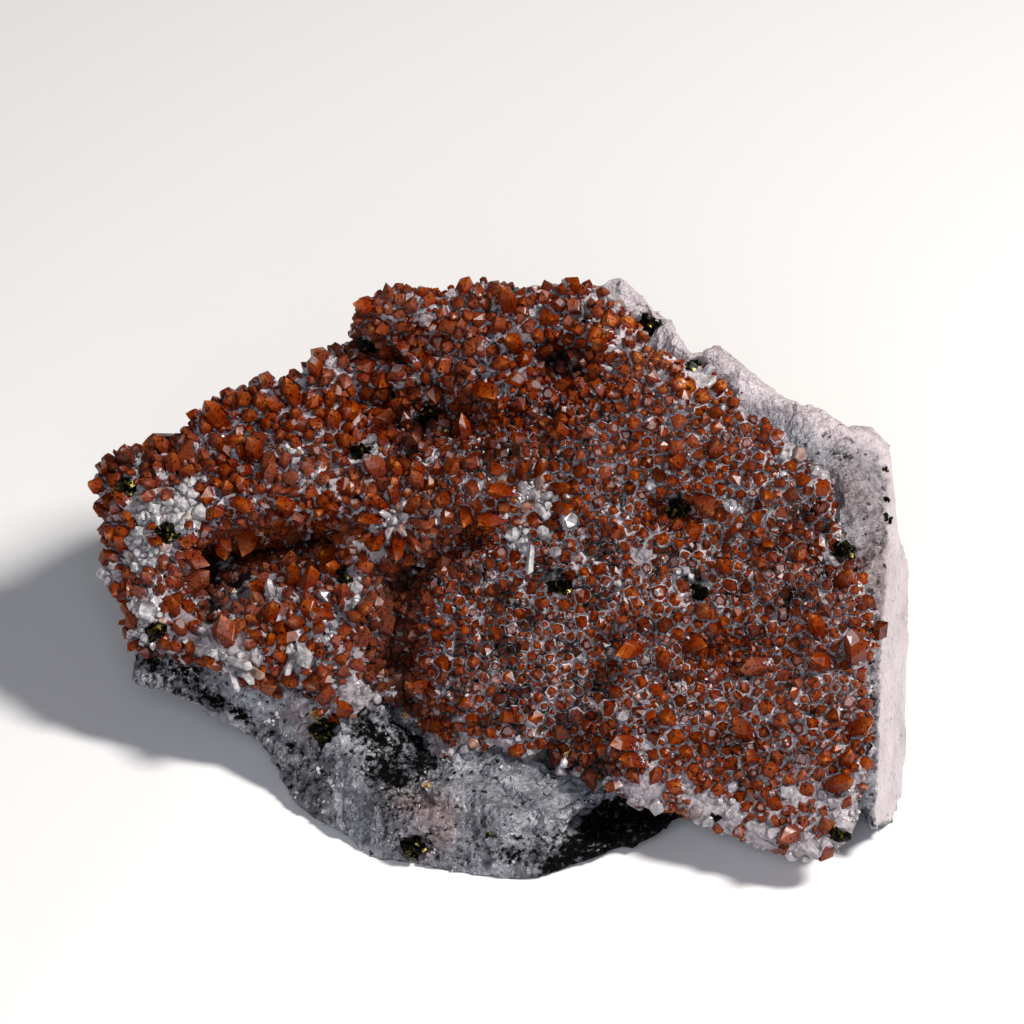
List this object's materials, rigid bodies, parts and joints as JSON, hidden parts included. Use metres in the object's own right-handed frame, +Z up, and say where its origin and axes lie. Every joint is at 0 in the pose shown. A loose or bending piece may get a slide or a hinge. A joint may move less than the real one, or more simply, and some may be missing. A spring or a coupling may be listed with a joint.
{
  "type": "mineral specimen",
  "caption": "Free-standing hand specimen of vein quartz whose sloping front carries a crust of iron-stained red quartz crystals with clusters of pyrite cubes.",
  "frame": {"origin": "centre of the footprint box, on the ground the specimen rests on", "axes": "+Z up; +X along the specimen's width, to the right of someone who faces the druse; +Y from the druse towards the broken back"},
  "size_m": [0.1198, 0.0874, 0.0598],
  "materials": {
    "vein_quartz": "broken massive quartz, grey-white, partly glassy",
    "red_quartz": "glassy crystal faces, iron-stained orange to red-brown",
    "pyrite": "metallic crystal faces, tarnished dark"
  },
  "bodies": {
    "root": {"druse": "red_quartz", "matrix": "vein_quartz", "pyrite_bowl_rim": "pyrite", "pyrite_foot": "pyrite", "pyrite_ledge": "pyrite", "pyrite_left_end": "pyrite", "pyrite_left_low": "pyrite", "pyrite_left_milky": "pyrite", "pyrite_left_slope": "pyrite", "pyrite_lower_lobe": "pyrite", "pyrite_middle": "pyrite", "pyrite_right_crest": "pyrite", "pyrite_right_middle": "pyrite", "pyrite_right_shoulder": "pyrite", "pyrite_top_edge": "pyrite", "pyrite_top_lobe": "pyrite", "pyrite_upper_basin": "pyrite", "pyrite_upper_right": "pyrite"}
  },
  "joints": []
}
